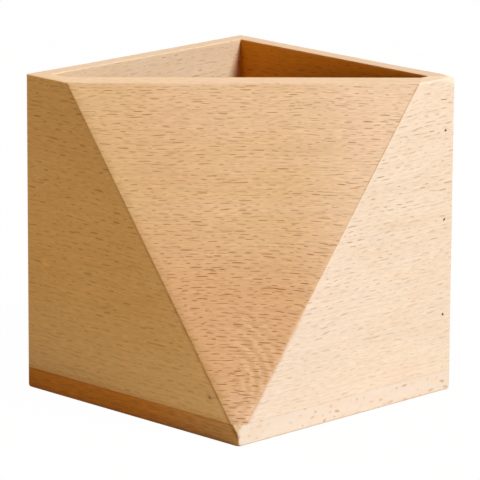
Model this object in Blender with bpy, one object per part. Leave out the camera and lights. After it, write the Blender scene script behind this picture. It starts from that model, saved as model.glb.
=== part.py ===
"""Wooden pen holder: a square box of beech boards, its front corner cut off by a slanted panel.

Run it with: blender --background --python part.py
Metres, +Z up. The origin is at the middle of the underside. The cut corner points to +X and -Y, so
someone who looks at the slanted panel has the left wall at -Y and the right wall at +X.
"""

import math
from dataclasses import dataclass

import bmesh
import bpy
from mathutils import Vector
from mathutils.geometry import normal as normal_of

# Outside of the box.
WIDTH = 0.0940
DEPTH = 0.0940
HEIGHT = 0.1000

# Boards.
WALL_THICKNESS = 0.0060
BASE_THICKNESS = 0.0065
PANEL_THICKNESS = 0.0082

# The slanted cut. The first two are measured on the rim, from the corner that the cut removes.
CUT_ALONG_LEFT_WALL = 0.0750
CUT_ALONG_RIGHT_WALL = 0.0775
CUT_FOOT_HEIGHT = 0.0022

# Joints and edges.
GLUE_GAP = 0.0003
EDGE_ROUND = 0.0008
INNER_RIM_ROUND = 0.0004
ROUND_SEGMENTS = 3
INNER_RIM_SEGMENTS = 2

# Headless pins. A pin is set a little under the face that it is driven through.
PIN_DIAMETER = 0.0008
PIN_CLEARANCE = 0.0001
PIN_SET_DEPTH = 0.0005
PIN_END_CLEARANCE = 0.0003
CORNER_PIN_LENGTH = 0.0120
CORNER_PIN_INSET = 0.0042
CORNER_PIN_HEIGHT_SHARES = (0.248, 0.552, 0.835)
FACET_PIN_LENGTH = 0.0100
FACET_PIN_HEIGHT = 0.0130
FACET_PIN_INSET = 0.0043
FACET_PIN_LEAN = math.radians(30)
PIN_SIDES = 12

# How far a hole's cutter runs out of the wood, and how near to a plane a point counts as on it.
CUTTER_OVERRUN = 0.0020
ON_PLANE = 0.000001
SMOOTH_UNDER = math.radians(40)

UP = Vector((0, 0, 1))

BEECH_ROUGHNESS = 0.5
BEECH_COLORS = {
    "base_board": "#CE9F6C",
    "left_wall": "#D2A470",
    "right_wall": "#DDB688",
    "back_left_wall": "#D8AE7E",
    "back_right_wall": "#D3A673",
    "front_facet_panel": "#DBB182",
}
PIN_COLOR = "#5A544E"
PIN_ROUGHNESS = 0.4


@dataclass(frozen=True)
class Side:
    """A flat outer side of the box, and how thick the board behind it is."""

    normal: Vector
    offset: float
    thickness: float


@dataclass(frozen=True)
class Pin:
    """A pin: where it enters the outer face, its way into the wood, its length, and its two boards."""

    name: str
    mouth: Vector
    way: Vector
    length: float
    boards: tuple


def slanted_side():
    """The side of the panel, through its two corners on the rim and its foot."""
    corner = Vector((WIDTH / 2, -DEPTH / 2, 0))
    on_left_wall = corner + Vector((-CUT_ALONG_LEFT_WALL, 0, HEIGHT))
    on_right_wall = corner + Vector((0, CUT_ALONG_RIGHT_WALL, HEIGHT))
    foot = corner + UP * CUT_FOOT_HEIGHT
    normal = normal_of(on_left_wall, foot, on_right_wall)
    if normal.z < 0:
        normal.negate()
    return Side(normal, normal.dot(foot), PANEL_THICKNESS)


SIDES = {
    "left_wall": Side(Vector((0, -1, 0)), DEPTH / 2, WALL_THICKNESS),
    "right_wall": Side(Vector((1, 0, 0)), WIDTH / 2, WALL_THICKNESS),
    "back_left_wall": Side(Vector((-1, 0, 0)), WIDTH / 2, WALL_THICKNESS),
    "back_right_wall": Side(Vector((0, 1, 0)), DEPTH / 2, WALL_THICKNESS),
    "front_facet_panel": slanted_side(),
}
NEIGHBOURS = {
    "left_wall": ("back_left_wall", "front_facet_panel"),
    "right_wall": ("back_right_wall", "front_facet_panel"),
    "back_left_wall": ("left_wall", "back_right_wall"),
    "back_right_wall": ("back_left_wall", "right_wall"),
    "front_facet_panel": ("left_wall", "right_wall"),
}


def clear_scene():
    for obj in list(bpy.data.objects):
        bpy.data.objects.remove(obj, do_unlink=True)


def new_collection(name):
    collection = bpy.data.collections.new(name)
    bpy.context.scene.collection.children.link(collection)
    return collection


def linear(hex_color):
    """An sRGB colour such as #D2A470 as linear RGBA."""
    channels = [int(hex_color[i : i + 2], 16) / 255 for i in (1, 3, 5)]
    return [c / 12.92 if c <= 0.04045 else ((c + 0.055) / 1.055) ** 2.4 for c in channels] + [1]


def material(name, hex_color, roughness, metallic):
    made = bpy.data.materials.new(name)
    made.use_nodes = True
    shader = made.node_tree.nodes["Principled BSDF"]
    shader.inputs["Base Color"].default_value = linear(hex_color)
    shader.inputs["Roughness"].default_value = roughness
    shader.inputs["Metallic"].default_value = metallic
    made.diffuse_color = linear(hex_color)
    return made


def cut_away(solid, point, normal):
    """Removes what lies beyond the plane, on the side that normal points to, and closes the cut."""
    geometry = solid.verts[:] + solid.edges[:] + solid.faces[:]
    cut = bmesh.ops.bisect_plane(
        solid, geom=geometry, dist=ON_PLANE, plane_co=point, plane_no=normal, clear_outer=True
    )
    rim = [part for part in cut["geom_cut"] if isinstance(part, bmesh.types.BMEdge)]
    bmesh.ops.holes_fill(solid, edges=rim, sides=0)
    bmesh.ops.recalc_face_normals(solid, faces=solid.faces)


def outer_form():
    """The whole holder as one solid block with rounded edges, from which each board is cut."""
    block = bmesh.new()
    bmesh.ops.create_cube(block, size=1)
    bmesh.ops.scale(block, vec=(WIDTH, DEPTH, HEIGHT), verts=block.verts)
    bmesh.ops.translate(block, vec=UP * (HEIGHT / 2), verts=block.verts)
    slant = SIDES["front_facet_panel"]
    cut_away(block, slant.normal * slant.offset, slant.normal)
    bmesh.ops.bevel(
        block,
        geom=block.edges[:] + block.verts[:],
        offset=EDGE_ROUND,
        segments=ROUND_SEGMENTS,
        profile=0.5,
        affect="EDGES",
        clamp_overlap=True,
    )
    return block


def keep_behind_mitre(solid, side, other):
    """Cuts along the mitre between two boards: where a point's depth under each side, as a share of
    that board's thickness, is the same. Half of the glue gap is taken from each board."""
    across = side.normal / side.thickness - other.normal / other.thickness
    offset = side.offset / side.thickness - other.offset / other.thickness
    plane_normal = across.normalized()
    point = plane_normal * (offset / across.length + GLUE_GAP / 2)
    cut_away(solid, point, -plane_normal)


def round_inner_rim(solid, side):
    """Softens the edge between the top of a wall and its inner face."""
    inner_offset = side.offset - side.thickness

    def on_inner_rim(vertex):
        return (
            abs(vertex.co.z - HEIGHT) < ON_PLANE
            and abs(side.normal.dot(vertex.co) - inner_offset) < ON_PLANE
        )

    rim = [edge for edge in solid.edges if all(on_inner_rim(vertex) for vertex in edge.verts)]
    bmesh.ops.bevel(
        solid,
        geom=rim,
        offset=INNER_RIM_ROUND,
        segments=INNER_RIM_SEGMENTS,
        profile=0.5,
        affect="EDGES",
        clamp_overlap=True,
    )


def place(solid, name, collection, holder):
    """Makes the object of a board, with its origin at the board's middle."""
    lows = Vector([min(vertex.co[axis] for vertex in solid.verts) for axis in range(3)])
    highs = Vector([max(vertex.co[axis] for vertex in solid.verts) for axis in range(3)])
    middle = (lows + highs) / 2
    bmesh.ops.translate(solid, vec=-middle, verts=solid.verts)
    mesh = bpy.data.meshes.new(name)
    solid.to_mesh(mesh)
    solid.free()
    mesh.shade_smooth()
    mesh.set_sharp_from_angle(angle=SMOOTH_UNDER)
    obj = bpy.data.objects.new(name, mesh)
    obj.location = middle
    obj.parent = holder
    obj.data.materials.append(material(name + "_beech", BEECH_COLORS[name], BEECH_ROUGHNESS, 0))
    collection.objects.link(obj)
    return obj


def upright_board(form, name, collection, holder):
    """A wall or the slanted panel: it stands on the base, with a mitre at both sides."""
    side = SIDES[name]
    solid = form.copy()
    cut_away(solid, side.normal * (side.offset - side.thickness), -side.normal)
    cut_away(solid, UP * (BASE_THICKNESS + GLUE_GAP), -UP)
    for neighbour in NEIGHBOURS[name]:
        keep_behind_mitre(solid, side, SIDES[neighbour])
    round_inner_rim(solid, side)
    return place(solid, name, collection, holder)


def base_board(form, collection, holder):
    """The base: all of the outer form under the walls."""
    solid = form.copy()
    cut_away(solid, UP * BASE_THICKNESS, UP)
    return place(solid, "base_board", collection, holder)


def corner_pins():
    """The pins at the three full corners. Each is driven through the wall that is named first."""
    left, right = -WIDTH / 2, WIDTH / 2
    front, back = -DEPTH / 2, DEPTH / 2
    on_right_wall = (right, back - CORNER_PIN_INSET)
    on_back_right_wall = (left + CORNER_PIN_INSET, back)
    on_back_left_wall = (left, front + CORNER_PIN_INSET)
    rows = (
        ("right_corner_pin", on_right_wall, ("right_wall", "back_right_wall")),
        ("back_corner_pin", on_back_right_wall, ("back_right_wall", "back_left_wall")),
        ("left_corner_pin", on_back_left_wall, ("back_left_wall", "left_wall")),
    )
    pins = []
    for name, (x, y), boards in rows:
        way = -SIDES[boards[0]].normal
        for count, share in enumerate(CORNER_PIN_HEIGHT_SHARES, start=1):
            mouth = Vector((x, y, HEIGHT * share))
            pins.append(Pin(f"{name}_{count}", mouth, way, CORNER_PIN_LENGTH, boards))
    return pins


def facet_pin():
    """The pin near the foot of the slanted panel, driven through the left wall and leaning to the panel."""
    slope = CUT_ALONG_LEFT_WALL / (HEIGHT - CUT_FOOT_HEIGHT)
    to_arris = slope * (FACET_PIN_HEIGHT - CUT_FOOT_HEIGHT)
    mouth = Vector((WIDTH / 2 - to_arris - FACET_PIN_INSET, -DEPTH / 2, FACET_PIN_HEIGHT))
    way = Vector((math.sin(FACET_PIN_LEAN), math.cos(FACET_PIN_LEAN), 0))
    return Pin("facet_pin", mouth, way, FACET_PIN_LENGTH, ("left_wall", "front_facet_panel"))


def rod(name, start, end, radius, collection):
    """A round rod between two points."""
    along = end - start
    bpy.ops.mesh.primitive_cylinder_add(
        vertices=PIN_SIDES,
        radius=radius,
        depth=along.length,
        location=(start + end) / 2,
        rotation=UP.rotation_difference(along).to_euler(),
    )
    obj = bpy.context.active_object
    obj.name = name
    obj.data.name = name
    for other in list(obj.users_collection):
        other.objects.unlink(obj)
    collection.objects.link(obj)
    return obj


def fit_pin(pin, boards, parts, cutters, holder):
    """Makes a pin and cuts its hole through the first board and into the second."""
    radius = PIN_DIAMETER / 2
    start = pin.mouth + pin.way * PIN_SET_DEPTH
    end = start + pin.way * pin.length
    obj = rod(pin.name, start, end, radius, parts)
    obj.parent = holder
    obj.data.shade_smooth()
    obj.data.set_sharp_from_angle(angle=SMOOTH_UNDER)
    obj.data.materials.append(material(pin.name + "_steel", PIN_COLOR, PIN_ROUGHNESS, 1))

    hole = rod(
        pin.name + "_hole",
        pin.mouth - pin.way * CUTTER_OVERRUN,
        end + pin.way * PIN_END_CLEARANCE,
        radius + PIN_CLEARANCE,
        cutters,
    )
    hole.hide_render = True
    hole.display_type = "WIRE"
    for name in pin.boards:
        cut = boards[name].modifiers.new(pin.name + "_hole", "BOOLEAN")
        cut.operation = "DIFFERENCE"
        cut.solver = "EXACT"
        cut.object = hole


def main():
    clear_scene()
    parts = new_collection("pen_holder")
    cutters = new_collection("pin_hole_cutters")
    holder = bpy.data.objects.new("pen_holder", None)
    parts.objects.link(holder)

    form = outer_form()
    boards = {name: upright_board(form, name, parts, holder) for name in SIDES}
    boards["base_board"] = base_board(form, parts, holder)
    form.free()
    for pin in corner_pins() + [facet_pin()]:
        fit_pin(pin, boards, parts, cutters, holder)


main()
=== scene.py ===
"""Looks of the wooden pen holder: beech boards glued at mitres and held by thin steel pins.

Blender 4.5, metres, +Z up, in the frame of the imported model. The slanted panel faces +X and -Y.
"""

import logging
import math
from dataclasses import dataclass, field
from enum import Enum

import bpy
import numpy as np
from bpy.types import Material, Node, NodeSocket, Object, World
from mathutils import Matrix, Vector


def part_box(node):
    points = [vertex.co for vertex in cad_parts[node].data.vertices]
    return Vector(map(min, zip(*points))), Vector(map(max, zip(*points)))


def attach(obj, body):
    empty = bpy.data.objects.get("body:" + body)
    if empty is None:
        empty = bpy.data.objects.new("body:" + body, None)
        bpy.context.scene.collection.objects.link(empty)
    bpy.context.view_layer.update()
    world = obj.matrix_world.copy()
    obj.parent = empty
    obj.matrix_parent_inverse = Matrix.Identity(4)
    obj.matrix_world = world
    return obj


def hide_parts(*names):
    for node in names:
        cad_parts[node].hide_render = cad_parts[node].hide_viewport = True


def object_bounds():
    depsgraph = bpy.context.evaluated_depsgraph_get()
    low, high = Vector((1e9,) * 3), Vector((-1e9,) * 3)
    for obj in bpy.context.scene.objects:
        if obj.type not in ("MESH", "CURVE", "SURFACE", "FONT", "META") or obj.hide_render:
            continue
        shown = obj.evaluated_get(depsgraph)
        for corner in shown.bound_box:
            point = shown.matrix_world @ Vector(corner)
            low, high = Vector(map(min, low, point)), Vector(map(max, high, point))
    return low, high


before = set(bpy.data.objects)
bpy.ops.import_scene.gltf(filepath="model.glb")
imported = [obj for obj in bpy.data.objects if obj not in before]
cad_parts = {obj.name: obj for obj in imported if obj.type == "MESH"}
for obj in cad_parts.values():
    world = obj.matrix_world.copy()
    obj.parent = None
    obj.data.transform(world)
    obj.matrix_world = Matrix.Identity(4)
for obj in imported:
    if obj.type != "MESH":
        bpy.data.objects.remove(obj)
CAD_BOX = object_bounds()

log = logging.getLogger("pen_holder")

Array = np.ndarray
Source = Node | NodeSocket

MM = 0.001
UP = np.array((0.0, 0.0, 1.0))
DOWN = -UP

# The photograph's frame and lens. The camera was fitted to the object's corners in that frame.
PHOTO_WIDTH_PX = 480
PHOTO_FOCAL_PX = 4230.0
SENSOR_WIDTH_MM = 36.0

# A length too short to divide by, and the number of samples from which a grid's lines are worked out.
TINY = 1e-12
GRADING_SAMPLES = 6001


def linear(hex_color: str) -> tuple[float, float, float, float]:
    """Turns an sRGB colour such as #E7BC8F into linear RGBA.

    Args:
        hex_color: six hex digits after a hash.

    Returns:
        Linear red, green, blue and an alpha of 1.
    """
    channels = [int(hex_color[i : i + 2], 16) / 255 for i in (1, 3, 5)]
    curve = [c / 12.92 if c <= 0.04045 else ((c + 0.055) / 1.055) ** 2.4 for c in channels]
    return (*curve, 1.0)


def unit(vector: Array) -> Array:
    """Returns the vector at length 1."""
    return vector / np.linalg.norm(vector)


def smooth(low: float, high: float, value: Array) -> Array:
    """Rises from 0 at low to 1 at high along 3t^2 - 2t^3, with t the share of the way between them."""
    t = np.clip((value - low) / (high - low), 0, 1)
    return t * t * (3 - 2 * t)


@dataclass(frozen=True, eq=False)
class Side:
    """A flat side: the points whose product with the normal is the reach. Thickness is its board's."""

    normal: Array
    reach: float
    thickness: float = 0.0

    def depth(self, points: Array) -> Array:
        """Returns how far each point lies under the side."""
        return self.reach - points @ self.normal

    def inner(self) -> "Side":
        """Returns the board's inner face, whose outward way is into the holder's hollow."""
        return Side(-self.normal, self.thickness - self.reach)


def round_edge(points: Array, first: Side, second: Side, radius: float | Array) -> Array:
    """Rounds the edge where two flat sides meet.

    A circle of this radius touches both sides. Its centre lies a radius under each. A point whose way from
    the centre lies between the two normals, and that is over a radius away, is drawn in to the circle.

    Args:
        points: N x 3 positions.
        first: one side.
        second: the other side.
        radius: the circle's radius, one number or one for each point.

    Returns:
        The N x 3 new positions.
    """
    cosine = float(first.normal @ second.normal)
    along_first = radius - first.depth(points)
    along_second = radius - second.depth(points)
    share_first = (along_first - cosine * along_second) / (1 - cosine**2)
    share_second = (along_second - cosine * along_first) / (1 - cosine**2)
    way = share_first[:, None] * first.normal + share_second[:, None] * second.normal
    length = np.linalg.norm(way, axis=1)
    drawn_in = (share_first > 0) & (share_second > 0) & (length > radius)
    scale = np.where(drawn_in, radius / np.maximum(length, TINY) - 1, 0)
    return points + scale[:, None] * way


def nearness(points: Array, first: Side, second: Side, spread: float) -> Array:
    """Falls from 1 on the edge of two sides as e to the minus squared distance over squared spread."""
    distance = np.hypot(first.depth(points), second.depth(points))
    return np.exp(-((distance / spread) ** 2))


def graded_lines(length: float, step: float, places: list[tuple[float, float, float]]) -> Array:
    """Places grid lines on a stretch, close together at some places.

    The spacing is a place's own at the place and grows smoothly to the step at its reach from there. Lines
    stand where the running sum of 1 / spacing passes whole numbers.

    Args:
        length: length of the stretch.
        step: spacing far from the places.
        places: where the lines stand closer, each with its spacing and its reach.

    Returns:
        The lines' places as shares of the length, from 0 to 1.
    """
    samples = np.linspace(0, length, GRADING_SAMPLES)
    spots, spacings, reaches = np.array(places).T[:, :, None]
    rise = smooth(0, reaches, np.abs(samples - spots))
    spacing = np.min(spacings + (step - spacings) * rise, axis=0)
    running = np.concatenate(([0], np.cumsum(0.5 / spacing[1:] + 0.5 / spacing[:-1])))
    running *= samples[1]
    count = math.ceil(running[-1])
    return np.interp(np.linspace(0, running[-1], count + 1), running, samples) / length


def box_lattice(us: Array, vs: Array, ws: Array) -> tuple[Array, list]:
    """The skin of a box as one closed grid: each of its six faces is a grid of two of the three parameters.

    Args:
        us: grid lines of the first parameter.
        vs: grid lines of the second.
        ws: grid lines of the third.

    Returns:
        N x 3 parameters, and the four corners of each face. The faces point outwards where the three
        parameters run in right-handed directions.
    """
    counts = (len(us), len(vs), len(ws))
    strides = (counts[1] * counts[2], counts[2], 1)
    faces = []
    for axis in range(3):
        first, second = (axis + 1) % 3, (axis + 2) % 3
        i, j = np.meshgrid(np.arange(counts[first] - 1), np.arange(counts[second] - 1), indexing="ij")
        right, over = strides[first], strides[second]
        corner = i * right + j * over
        ring = (corner, corner + right, corner + right + over, corner + over)
        quads = np.stack([part.ravel() for part in ring], axis=1)
        faces.append(quads[:, ::-1])
        faces.append(quads + (counts[axis] - 1) * strides[axis])
    used, corners = np.unique(np.concatenate(faces), return_inverse=True)
    i, j, k = np.unravel_index(used, counts)
    return np.stack([us[i], vs[j], ws[k]], axis=1), corners.reshape(-1, 4).tolist()


def turned(profile: Array, start: Array, way: Array, sides: int) -> tuple[Array, list]:
    """A profile carried round an axis: a point is start + way * t + radius * (across cos a + over sin a).

    Args:
        profile: K x 2 rows of t and radius. The first and last radius are 0, and are poles.
        start: where t is 0.
        way: the axis, of length 1 and not upright.
        sides: how many steps round.

    Returns:
        The N x 3 points, and the faces.
    """
    across = unit(np.cross(way, UP))
    over = np.cross(way, across)
    angles = np.arange(sides) * 2 * math.pi / sides
    spokes = np.cos(angles)[:, None] * across + np.sin(angles)[:, None] * over
    rings = start + profile[1:-1, None, :1] * way + profile[1:-1, None, 1:] * spokes
    poles = np.stack([start + profile[0, 0] * way, start + profile[-1, 0] * way])
    points = np.concatenate([rings.reshape(-1, 3), poles])
    here = np.arange(sides)
    after = (here + 1) % sides
    rows = np.arange(len(profile) - 3)[:, None] * sides
    quads = np.stack([rows + here, rows + after, rows + sides + after, rows + sides + here], axis=-1)
    last = (len(profile) - 3) * sides
    first_pole, last_pole = len(points) - 2, len(points) - 1
    first_fan = np.stack([after, here, np.full(sides, first_pole)], axis=1)
    last_fan = np.stack([last + here, last + after, np.full(sides, last_pole)], axis=1)
    return points, quads.reshape(-1, 4).tolist() + first_fan.tolist() + last_fan.tolist()


def new_piece(name: str, points: Array, faces: list, **noted: Array) -> Object:
    """Makes an object at the origin from points in the frame.

    Args:
        name: the piece's name.
        points: N x 3 positions in metres.
        faces: the corners of each face.
        noted: attributes for the material to read, each with one number a point.

    Returns:
        The object, in the scene.
    """
    mesh = bpy.data.meshes.new(name)
    mesh.from_pydata(points.tolist(), [], faces)
    mesh.update()
    for attribute, values in noted.items():
        layer = mesh.attributes.new(attribute, "FLOAT", "POINT")
        layer.data.foreach_set("value", values.astype(np.float32))
    piece = bpy.data.objects.new(name, mesh)
    bpy.context.scene.collection.objects.link(piece)
    return piece


def shade(piece: Object, sharp_over: float = math.radians(40)) -> None:
    """Shades a piece smooth, with edges over the angle left sharp."""
    piece.data.shade_smooth()
    piece.data.set_sharp_from_angle(angle=sharp_over)


def hand_over(piece: Object, material: Material, node: str) -> None:
    """Gives a piece its material and its body, hides the CAD node that it stands for, and logs it.

    Args:
        piece: the piece.
        material: its material.
        node: the CAD node's name.
    """
    piece.data.materials.append(material)
    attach(piece, "root")
    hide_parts(node)
    log.info("%s: %d faces", piece.name, len(piece.data.polygons))


# The property that holds a node's choice, which stands after the node's kind, as in Math MULTIPLY.
CHOICES = {
    "Math": "operation", "VectorMath": "operation", "MapRange": "interpolation_type", "Mix": "data_type",
}


class Nodes:
    """The node tree of a material or of the world, with one way to add a node."""

    def __init__(self, owner: Material | World) -> None:
        """Empties the owner's node tree.

        Args:
            owner: the material or the world.
        """
        owner.use_nodes = True
        self.tree = owner.node_tree
        self.tree.nodes.clear()

    def add(self, kind: str, *inputs: object, **settings: object) -> Node:
        """Adds a node.

        Args:
            kind: Blender's name of the node, without ShaderNode in front, and its choice after it.
            inputs: what goes into the inputs in use, in their order, or one dict with that by name. A node
                stands for its first output in use.
            settings: its own properties.

        Returns:
            The node.
        """
        kind, _, choice = kind.partition(" ")
        if choice:
            settings[CHOICES[kind]] = choice
        node = self.tree.nodes.new("ShaderNode" + kind)
        for name, value in settings.items():
            setattr(node, name, value)
        if inputs and isinstance(inputs[0], dict):
            pairs = [(node.inputs[name], value) for name, value in inputs[0].items()]
        else:
            pairs = zip([socket for socket in node.inputs if socket.enabled], inputs)
        for socket, value in pairs:
            if isinstance(value, Node):
                value = next(output for output in value.outputs if output.enabled)
            if isinstance(value, NodeSocket):
                self.tree.links.new(value, socket)
            else:
                socket.default_value = value
        return node


# The levels between which a noise stays for the most part, and how strongly relief bends the light.
NOISE_LOW = 0.3
NOISE_HIGH = 0.7
BUMP_STRENGTH = 0.3


@dataclass(frozen=True)
class Blots:
    """A noise stretched along the grain, with the size of its blots in millimetres.

    The number tells the noises of a board apart. Bare and full are the levels of the noise at which what
    follows it is absent and whole.
    """

    along: float
    across: float
    number: int
    layers: float
    bare: float = NOISE_LOW
    full: float = NOISE_HIGH


# Real fibres are about 0.02 mm wide, too fine to show, so fibres are drawn more than ten times as wide.
WAVES = Blots(30.0, 11.0, number=0, layers=1.5)
PALE_CLOUDS = Blots(26.0, 6.5, number=1, layers=3.0, bare=0.4, full=0.65)
WARM_CLOUDS = Blots(17.0, 5.0, number=2, layers=3.0, bare=0.42, full=0.66)
FIBRES = Blots(4.0, 0.32, number=3, layers=3.0)
STREAKS = Blots(40.0, 1.1, number=4, layers=2.0)
RAISED_FIBRES = Blots(6.0, 0.22, number=5, layers=3.0)
RIPPLES = Blots(7.0, 3.0, number=6, layers=1.5)
UNEVEN_SANDING = Blots(6.0, 3.0, number=7, layers=2.0)
END_MOTTLE = Blots(9.0, 2.2, number=9, layers=2.0, bare=0.35, full=0.65)

# What is added to a number of random draws to get other ones.
OTHER_DRAWS = 40
# How far, in millimetres, the narrow edges' pattern is moved, so that it doesn't repeat the broad faces'.
EDGE_PATTERN_OFFSET = 137.0
# The cosine of 45 degrees: how far a face may turn from an edge, an end or the inside and still count as one.
DIAGONAL = 0.71


@dataclass(frozen=True)
class Dashes:
    """Dark dashes in loose rows along the grain. Lengths in millimetres, the lean as rise over run.

    Stray and jolt are shares of the cell that a dash has to itself. Shortest and narrowest are shares of the
    length and width. A dash is bare wood at its halo and whole at its core, as multiples of its outline. The
    scarcities are powers of random numbers, so a high one makes dark or long dashes rare.
    """

    length: float
    width: float
    apart_along: float
    apart_across: float
    darkness: float
    scarcity: float = 1.0
    lean: float = 0.04
    stray_along: float = 0.2
    stray_across: float = 0.22
    jolt: float = 0.3
    shortest: float = 0.28
    narrowest: float = 0.7
    long_scarcity: float = 2.2
    long_from: float = 0.6
    short_darkness: float = 0.8
    long_darkness: float = 1.15
    bluntness: float = 4.0
    halo: float = 1.15
    core: float = 0.45
    seed: float = 0.0


END_DOTS = Dashes(
    3.8, 1.25, apart_along=3.6, apart_across=1.9, darkness=1.0, scarcity=2.2, lean=0.2, stray_along=0.34,
    bluntness=2.0,
)


@dataclass(frozen=True)
class RingArcs:
    """Growth rings that close round a centre on the board's face, as where a saw cut runs out of them.

    The sag is the radius to which the rays' rows bend above the centre, from one height to another.
    """

    middle_along: float
    middle_across: float
    flatten: float = 1.2
    apart: float = 3.4
    push: float = 16.0
    pale_from: float = -0.6
    pale_share: float = 0.22
    dark_share: float = 0.05
    starts: float = 6.0
    full: float = 12.0
    fades_from: float = 16.0
    fades_to: float = 38.0
    side_from: float = -9.0
    side_to: float = 4.0
    sag_radius: float = 240.0
    sag_from: float = 50.0
    sag_full: float = 10.0


class Way(Enum):
    """The directions of a board's own grain."""

    ALONG = "along"
    ACROSS = "across"


class Face(Enum):
    """The two kinds of a board's faces: its broad faces and its narrow edges."""

    BROAD = "broad"
    EDGE = "edge"


@dataclass(frozen=True)
class Ramp:
    """A number that changes smoothly over a board, from one place to another, in millimetres."""

    way: Way
    start: float
    end: float
    at_start: float
    at_end: float


@dataclass(frozen=True)
class Drift:
    """A colour that comes in slowly over a board, on one kind of face."""

    share: Ramp
    color: str
    on: Face = Face.BROAD


@dataclass(frozen=True)
class Grain:
    """What a board's material knows of a point.

    It is millimetres along the grain, across it on the broad face and through the board, then the bent way
    across that the pattern follows, and 1 or 0 for a narrow edge, an end and the face inside the holder.
    """

    along: Source
    across: Source
    through: Source
    bent: Source
    on_edge: Source
    on_end: Source
    on_inside: Source


@dataclass(frozen=True)
class BeechFinish:
    """Steamed beech, planed, sanded along the grain and rubbed with a little oil.

    To the eye it is a warm, even, pale wood with a satin surface, strewn with short dark dashes: the rays,
    cut across. On the ends of a board the same rays are small brown dots.
    """

    tone: str
    pale: str
    warm: str
    edge: str
    dash: str
    faint_rays: Dashes
    seed: float
    rays: Dashes = Dashes(4.6, 0.42, apart_along=5.6, apart_across=1.5, darkness=0.5, scarcity=1.3)
    # The colour of the faces inside the holder, where it differs: on the back right wall a painted shade.
    inside: str = ""
    end: str = "#EAC79F"
    dot: str = "#AE7440"
    # The glue's colour. On the back left wall it is painted light, a warm glow in the inner corner's shadow;
    # on the base it also paints shade along the foot.
    glue: str = "#9A6428"
    stain: str = "#5E3210"
    wear_share: float = 0.5
    glue_and_painted_light_share: float = 1.3
    stain_share: float = 1.1
    drifts: tuple[Drift, ...] = ()
    ray_strength: Ramp = Ramp(Way.ACROSS, 0.0, 90.0, 0.75, 1.1)
    dot_strength: Ramp = Ramp(Way.ACROSS, -40.0, 10.0, 0.4, 0.52)
    arcs: RingArcs | None = None
    patchiness: float = 0.35
    end_patchiness: float = 0.3
    fibre_part: float = 1.4
    streak_part: float = 0.6
    streaks: float = 0.24
    edge_streaks: float = 0.2
    edge_dashes: float = 0.35
    wave_height: float = 1.2
    ripple_height: float = 0.36
    ray_sink: float = 0.8
    relief: float = 0.05 * MM
    roughest: float = 0.61
    smoothest: float = 0.5
    ior: float = 1.5
    specular_level: float = 0.16

    def material(self, name: str, along: Array, across: Array, outward: Array) -> Material:
        """Builds the material of one board.

        Args:
            name: the material's name.
            along: the way of the grain.
            across: the way across the grain on the broad face.
            outward: the broad face's normal.

        Returns:
            The material.
        """
        material = bpy.data.materials.new(name)
        n = Nodes(material)
        grain = self.grain(n, along, across, outward)
        tone, dark = self.rayed(n, grain, self.tones(n, grain))
        tone = self.end_grain(n, grain, tone)
        tone = self.joints_and_edges(n, grain, tone)
        fibre = self.noise(n, grain.along, grain.bent, RAISED_FIBRES)
        gloss = n.add("MapRange", fibre, NOISE_LOW, NOISE_HIGH, self.roughest, self.smoothest)
        height = n.add("Math MULTIPLY_ADD", dark, -self.ray_sink, fibre)
        bump = n.add("Bump", {"Strength": BUMP_STRENGTH, "Distance": self.relief, "Height": height})
        shader = n.add(
            "BsdfPrincipled",
            {
                "Base Color": tone, "Roughness": gloss, "Normal": bump, "IOR": self.ior,
                "Specular IOR Level": self.specular_level,
            },
        )
        n.add("OutputMaterial", shader)
        return material

    def grain(self, n: Nodes, along: Array, across: Array, outward: Array) -> Grain:
        """Measures a point in the board's own directions.

        The way across is bent by slow waves and by small ripples. Over ring arcs it sags too, by the squared
        distance from their middle over twice the sag's radius.

        Args:
            n: the tree.
            along: the way of the grain.
            across: the way across the grain on the broad face.
            outward: the broad face's normal.

        Returns:
            The point's measures.
        """
        coordinates = n.add("TexCoord")
        (a, b, c), (to_along, to_across, to_outward) = (
            [
                n.add("VectorMath DOT_PRODUCT", coordinates.outputs[output], tuple(axis / scale))
                for axis in (along, across, outward)
            ]
            for output, scale in (("Object", MM), ("Normal", 1))
        )
        on_edge, on_end = (
            n.add("Math GREATER_THAN", n.add("Math ABSOLUTE", part), DIAGONAL)
            for part in (to_across, to_along)
        )
        on_inside = n.add("Math LESS_THAN", to_outward, -DIAGONAL)
        far_c = n.add("Math ADD", c, EDGE_PATTERN_OFFSET)
        bent = straight = n.add("Mix FLOAT", on_edge, b, far_c)
        for blots, height in ((WAVES, self.wave_height), (RIPPLES, self.ripple_height)):
            swing = n.add("Math SUBTRACT", self.noise(n, a, straight, blots), 0.5)
            bent = n.add("Math MULTIPLY_ADD", swing, 2 * height, bent)
        if arcs := self.arcs:
            aside = n.add("Math ADD", a, -arcs.middle_along)
            sag = n.add("Math MULTIPLY", aside, aside)
            steep = n.add("MapRange SMOOTHSTEP", b, arcs.sag_from, arcs.sag_full, 0.0, 0.5 / arcs.sag_radius)
            bent = n.add("Math MULTIPLY_ADD", sag, steep, bent)
        return Grain(a, b, c, bent, on_edge, on_end, on_inside)

    def noise(self, n: Nodes, a: Source, q: Source, blots: Blots) -> Node:
        """Adds a noise stretched along the grain.

        Args:
            n: the tree.
            a: millimetres along the grain.
            q: millimetres across it.
            blots: its sizes.

        Returns:
            The noise node, about 0.3 to 0.7.
        """
        place = n.add("CombineXYZ", a, q, self.seed + blots.number)
        shrunk = n.add("VectorMath MULTIPLY", place, (1 / blots.along, 1 / blots.across, 1.0))
        return n.add("TexNoise", {"Vector": shrunk, "Scale": 1.0, "Detail": blots.layers, "Roughness": 0.5})

    def ramped(self, n: Nodes, grain: Grain, ramp: Ramp) -> Node:
        """Returns a node with a ramp's number at the point."""
        way = grain.along if ramp.way is Way.ALONG else grain.across
        return n.add("MapRange SMOOTHSTEP", way, ramp.start, ramp.end, ramp.at_start, ramp.at_end)

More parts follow.
